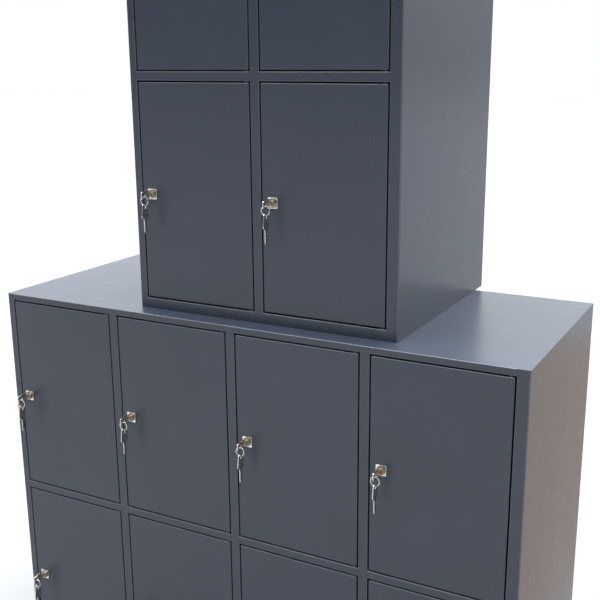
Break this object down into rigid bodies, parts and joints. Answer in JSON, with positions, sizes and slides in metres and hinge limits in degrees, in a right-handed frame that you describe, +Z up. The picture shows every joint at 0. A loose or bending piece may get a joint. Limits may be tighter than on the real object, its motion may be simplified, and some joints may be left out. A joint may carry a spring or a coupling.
{
  "type": "parcel locker",
  "caption": "Steel parcel locker: a wide base bank with a narrower bank stacked on top, flush hinged doors with cam locks, keys and key rings, compartments open behind them.",
  "frame": {"origin": "middle of the footprint of the whole object (keys in the locks included), on the floor under the levelling feet", "axes": "+X to the right along the door fronts, +Y from the fronts to the back, +Z up"},
  "size_m": [1.2, 0.586, 1.915],
  "materials": {
    "cabinet_steel": "satin anthracite powder coat",
    "door_steel": "satin anthracite powder coat",
    "nickel": "nickel plated, lightly worn",
    "key_steel": "nickel plated, worn",
    "zinc": "zinc plated",
    "feet": "black moulded plastic pad"
  },
  "bodies": {
    "banks": {"base_shell": "cabinet_steel", "base_top": "cabinet_steel", "base_floor": "cabinet_steel", "base_partitions": "cabinet_steel", "base_shelves": "cabinet_steel", "upper_shell": "cabinet_steel", "upper_roof": "cabinet_steel", "upper_floor": "cabinet_steel", "upper_partition": "cabinet_steel", "upper_shelves": "cabinet_steel", "levelling_feet": "feet", "stacking_bolts": "zinc"},
    "door_01": {"door_01": "door_steel", "lock_case_01": "nickel"},
    "lock_01": {"lock_plug_01": "nickel"},
    "keys_01": {"key_ring_01": "key_steel"},
    "door_02": {"door_02": "door_steel", "lock_case_02": "nickel"},
    "lock_02": {"lock_plug_02": "nickel"},
    "keys_02": {"key_ring_02": "key_steel"},
    "door_03": {"door_03": "door_steel", "lock_case_03": "nickel"},
    "lock_03": {"lock_plug_03": "nickel"},
    "keys_03": {"key_ring_03": "key_steel"},
    "door_04": {"door_04": "door_steel", "lock_case_04": "nickel"},
    "lock_04": {"lock_plug_04": "nickel"},
    "keys_04": {"key_ring_04": "key_steel"},
    "door_05": {"door_05": "door_steel", "lock_case_05": "nickel"},
    "lock_05": {"lock_plug_05": "nickel"},
    "keys_05": {"key_ring_05": "key_steel"},
    "door_06": {"door_06": "door_steel", "lock_case_06": "nickel"},
    "lock_06": {"lock_plug_06": "nickel"},
    "keys_06": {"key_ring_06": "key_steel"},
    "door_07": {"door_07": "door_steel", "lock_case_07": "nickel"},
    "lock_07": {"lock_plug_07": "nickel"},
    "keys_07": {"key_ring_07": "key_steel"},
    "door_08": {"door_08": "door_steel", "lock_case_08": "nickel"},
    "lock_08": {"lock_plug_08": "nickel"},
    "keys_08": {"key_ring_08": "key_steel"},
    "door_09": {"door_09": "door_steel", "lock_case_09": "nickel"},
    "lock_09": {"lock_plug_09": "nickel"},
    "keys_09": {"key_ring_09": "key_steel"},
    "door_10": {"door_10": "door_steel", "lock_case_10": "nickel"},
    "lock_10": {"lock_plug_10": "nickel"},
    "keys_10": {"key_ring_10": "key_steel"},
    "door_11": {"door_11": "door_steel", "lock_case_11": "nickel"},
    "lock_11": {"lock_plug_11": "nickel"},
    "keys_11": {"key_ring_11": "key_steel"},
    "door_12": {"door_12": "door_steel", "lock_case_12": "nickel"},
    "lock_12": {"lock_plug_12": "nickel"},
    "keys_12": {"key_ring_12": "key_steel"}
  },
  "joints": [
    {"name": "door_01_hinge", "type": "hinge", "parent": "banks", "child": "door_01", "pos_m": [-0.31825, -0.246, 0.7245], "axis": [0, 0, 1], "range_deg": [0, 110]},
    {"name": "lock_01_turn", "type": "hinge", "parent": "door_01", "child": "lock_01", "pos_m": [-0.5555, -0.252, 0.7225], "axis": [0, 1, 0], "range_deg": [0, 90]},
    {"name": "keys_01_hang", "type": "hinge", "parent": "lock_01", "child": "keys_01", "pos_m": [-0.5555, -0.282, 0.716], "axis": [0, 1, 0], "range_deg": [-90, 0]},
    {"name": "door_02_hinge", "type": "hinge", "parent": "banks", "child": "door_02", "pos_m": [-0.0235, -0.246, 0.7245], "axis": [0, 0, 1], "range_deg": [0, 110]},
    {"name": "lock_02_turn", "type": "hinge", "parent": "door_02", "child": "lock_02", "pos_m": [-0.26075, -0.252, 0.7225], "axis": [0, 1, 0], "range_deg": [0, 90]},
    {"name": "keys_02_hang", "type": "hinge", "parent": "lock_02", "child": "keys_02", "pos_m": [-0.26075, -0.282, 0.716], "axis": [0, 1, 0], "range_deg": [-90, 0]},
    {"name": "door_03_hinge", "type": "hinge", "parent": "banks", "child": "door_03", "pos_m": [0.27125, -0.246, 0.7245], "axis": [0, 0, 1], "range_deg": [0, 110]},
    {"name": "lock_03_turn", "type": "hinge", "parent": "door_03", "child": "lock_03", "pos_m": [0.034, -0.252, 0.7225], "axis": [0, 1, 0], "range_deg": [0, 90]},
    {"name": "keys_03_hang", "type": "hinge", "parent": "lock_03", "child": "keys_03", "pos_m": [0.034, -0.282, 0.716], "axis": [0, 1, 0], "range_deg": [-90, 0]},
    {"name": "door_04_hinge", "type": "hinge", "parent": "banks", "child": "door_04", "pos_m": [0.566, -0.246, 0.7245], "axis": [0, 0, 1], "range_deg": [0, 110]},
    {"name": "lock_04_turn", "type": "hinge", "parent": "door_04", "child": "lock_04", "pos_m": [0.32875, -0.252, 0.7225], "axis": [0, 1, 0], "range_deg": [0, 90]},
    {"name": "keys_04_hang", "type": "hinge", "parent": "lock_04", "child": "keys_04", "pos_m": [0.32875, -0.282, 0.716], "axis": [0, 1, 0], "range_deg": [-90, 0]},
    {"name": "door_05_hinge", "type": "hinge", "parent": "banks", "child": "door_05", "pos_m": [-0.31825, -0.246, 0.2625], "axis": [0, 0, 1], "range_deg": [0, 110]},
    {"name": "lock_05_turn", "type": "hinge", "parent": "door_05", "child": "lock_05", "pos_m": [-0.5555, -0.252, 0.2605], "axis": [0, 1, 0], "range_deg": [0, 90]},
    {"name": "keys_05_hang", "type": "hinge", "parent": "lock_05", "child": "keys_05", "pos_m": [-0.5555, -0.282, 0.254], "axis": [0, 1, 0], "range_deg": [-90, 0]},
    {"name": "door_06_hinge", "type": "hinge", "parent": "banks", "child": "door_06", "pos_m": [-0.0235, -0.246, 0.2625], "axis": [0, 0, 1], "range_deg": [0, 110]},
    {"name": "lock_06_turn", "type": "hinge", "parent": "door_06", "child": "lock_06", "pos_m": [-0.26075, -0.252, 0.2605], "axis": [0, 1, 0], "range_deg": [0, 90]},
    {"name": "keys_06_hang", "type": "hinge", "parent": "lock_06", "child": "keys_06", "pos_m": [-0.26075, -0.282, 0.254], "axis": [0, 1, 0], "range_deg": [-90, 0]},
    {"name": "door_07_hinge", "type": "hinge", "parent": "banks", "child": "door_07", "pos_m": [0.27125, -0.246, 0.2625], "axis": [0, 0, 1], "range_deg": [0, 110]},
    {"name": "lock_07_turn", "type": "hinge", "parent": "door_07", "child": "lock_07", "pos_m": [0.034, -0.252, 0.2605], "axis": [0, 1, 0], "range_deg": [0, 90]},
    {"name": "keys_07_hang", "type": "hinge", "parent": "lock_07", "child": "keys_07", "pos_m": [0.034, -0.282, 0.254], "axis": [0, 1, 0], "range_deg": [-90, 0]},
    {"name": "door_08_hinge", "type": "hinge", "parent": "banks", "child": "door_08", "pos_m": [0.566, -0.246, 0.2625], "axis": [0, 0, 1], "range_deg": [0, 110]},
    {"name": "lock_08_turn", "type": "hinge", "parent": "door_08", "child": "lock_08", "pos_m": [0.32875, -0.252, 0.2605], "axis": [0, 1, 0], "range_deg": [0, 90]},
    {"name": "keys_08_hang", "type": "hinge", "parent": "lock_08", "child": "keys_08", "pos_m": [0.32875, -0.282, 0.254], "axis": [0, 1, 0], "range_deg": [-90, 0]},
    {"name": "door_09_hinge", "type": "hinge", "parent": "banks", "child": "door_09", "pos_m": [0.0185, -0.201, 1.676], "axis": [0, 0, 1], "range_deg": [0, 110]},
    {"name": "lock_09_turn", "type": "hinge", "parent": "door_09", "child": "lock_09", "pos_m": [-0.2095, -0.207, 1.674], "axis": [0, 1, 0], "range_deg": [0, 90]},
    {"name": "keys_09_hang", "type": "hinge", "parent": "lock_09", "child": "keys_09", "pos_m": [-0.2095, -0.237, 1.6675], "axis": [0, 1, 0], "range_deg": [-90, 0]},
    {"name": "door_10_hinge", "type": "hinge", "parent": "banks", "child": "door_10", "pos_m": [0.304, -0.201, 1.676], "axis": [0, 0, 1], "range_deg": [0, 110]},
    {"name": "lock_10_turn", "type": "hinge", "parent": "door_10", "child": "lock_10", "pos_m": [0.076, -0.207, 1.674], "axis": [0, 1, 0], "range_deg": [0, 90]},
    {"name": "keys_10_hang", "type": "hinge", "parent": "lock_10", "child": "keys_10", "pos_m": [0.076, -0.237, 1.6675], "axis": [0, 1, 0], "range_deg": [-90, 0]},
    {"name": "door_11_hinge", "type": "hinge", "parent": "banks", "child": "door_11", "pos_m": [0.0185, -0.201, 1.208], "axis": [0, 0, 1], "range_deg": [0, 110]},
    {"name": "lock_11_turn", "type": "hinge", "parent": "door_11", "child": "lock_11", "pos_m": [-0.2095, -0.207, 1.206], "axis": [0, 1, 0], "range_deg": [0, 90]},
    {"name": "keys_11_hang", "type": "hinge", "parent": "lock_11", "child": "keys_11", "pos_m": [-0.2095, -0.237, 1.1995], "axis": [0, 1, 0], "range_deg": [-90, 0]},
    {"name": "door_12_hinge", "type": "hinge", "parent": "banks", "child": "door_12", "pos_m": [0.304, -0.201, 1.208], "axis": [0, 0, 1], "range_deg": [0, 110]},
    {"name": "lock_12_turn", "type": "hinge", "parent": "door_12", "child": "lock_12", "pos_m": [0.076, -0.207, 1.206], "axis": [0, 1, 0], "range_deg": [0, 90]},
    {"name": "keys_12_hang", "type": "hinge", "parent": "lock_12", "child": "keys_12", "pos_m": [0.076, -0.237, 1.1995], "axis": [0, 1, 0], "range_deg": [-90, 0]}
  ],
  "couplings": [
    {"joint": "keys_01_hang", "follows": "lock_01_turn", "ratio": -1},
    {"joint": "keys_02_hang", "follows": "lock_02_turn", "ratio": -1},
    {"joint": "keys_03_hang", "follows": "lock_03_turn", "ratio": -1},
    {"joint": "keys_04_hang", "follows": "lock_04_turn", "ratio": -1},
    {"joint": "keys_05_hang", "follows": "lock_05_turn", "ratio": -1},
    {"joint": "keys_06_hang", "follows": "lock_06_turn", "ratio": -1},
    {"joint": "keys_07_hang", "follows": "lock_07_turn", "ratio": -1},
    {"joint": "keys_08_hang", "follows": "lock_08_turn", "ratio": -1},
    {"joint": "keys_09_hang", "follows": "lock_09_turn", "ratio": -1},
    {"joint": "keys_10_hang", "follows": "lock_10_turn", "ratio": -1},
    {"joint": "keys_11_hang", "follows": "lock_11_turn", "ratio": -1},
    {"joint": "keys_12_hang", "follows": "lock_12_turn", "ratio": -1}
  ]
}
